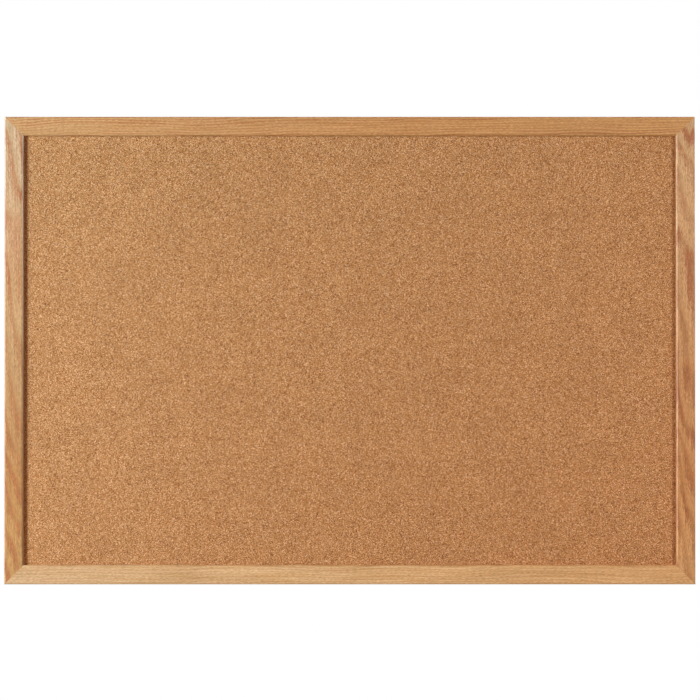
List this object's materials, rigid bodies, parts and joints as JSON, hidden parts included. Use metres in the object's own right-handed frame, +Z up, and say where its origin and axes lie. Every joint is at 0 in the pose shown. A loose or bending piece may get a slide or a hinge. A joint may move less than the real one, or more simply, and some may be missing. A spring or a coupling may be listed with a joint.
{
  "type": "framed cork notice board",
  "caption": "Wall-hung notice board: a cork sheet on a fibreboard core in a mitred, rabbeted oak frame, with swinging D-ring hangers and rubber bumpers on the back.",
  "frame": {"origin": "centre of the plane that the frame's back lies in, on the wall side of the board", "axes": "+X to the right across the width as seen from the front, +Y out of the back towards the wall, +Z up; the cork faces -Y"},
  "size_m": [0.9144, 0.0238, 0.619],
  "materials": {
    "oak": "satin",
    "cork": "matte",
    "fibreboard": "matte",
    "zinc_plate": "satin",
    "nail_steel": "satin",
    "rubber": "matte"
  },
  "bodies": {
    "board": {"top_rail": "oak", "right_stile": "oak", "bottom_rail": "oak", "left_stile": "oak", "cork_sheet": "cork", "fibreboard_core": "fibreboard", "v_nail_top_right_outer": "nail_steel", "v_nail_top_right_inner": "nail_steel", "v_nail_bottom_right_outer": "nail_steel", "v_nail_bottom_right_inner": "nail_steel", "v_nail_bottom_left_outer": "nail_steel", "v_nail_bottom_left_inner": "nail_steel", "v_nail_top_left_outer": "nail_steel", "v_nail_top_left_inner": "nail_steel", "point_top_1": "nail_steel", "point_top_2": "nail_steel", "point_top_3": "nail_steel", "point_top_4": "nail_steel", "point_top_5": "nail_steel", "point_right_1": "nail_steel", "point_right_2": "nail_steel", "point_right_3": "nail_steel", "point_bottom_1": "nail_steel", "point_bottom_2": "nail_steel", "point_bottom_3": "nail_steel", "point_bottom_4": "nail_steel", "point_bottom_5": "nail_steel", "point_left_1": "nail_steel", "point_left_2": "nail_steel", "point_left_3": "nail_steel", "hanger_strap_left": "zinc_plate", "hanger_strap_right": "zinc_plate", "hanger_screw_left_1": "zinc_plate", "hanger_screw_left_2": "zinc_plate", "hanger_screw_right_1": "zinc_plate", "hanger_screw_right_2": "zinc_plate", "bumper_left": "rubber", "bumper_right": "rubber"},
    "ring_left": {"d_ring_left": "zinc_plate"},
    "ring_right": {"d_ring_right": "zinc_plate"}
  },
  "joints": [
    {"name": "ring_left_swing", "type": "hinge", "parent": "board", "child": "ring_left", "pos_m": [-0.448, 0.0022, 0.2395], "axis": [1, 0, 0], "range_deg": [0, 178]},
    {"name": "ring_right_swing", "type": "hinge", "parent": "board", "child": "ring_right", "pos_m": [0.448, 0.0022, 0.2395], "axis": [1, 0, 0], "range_deg": [0, 178]}
  ]
}
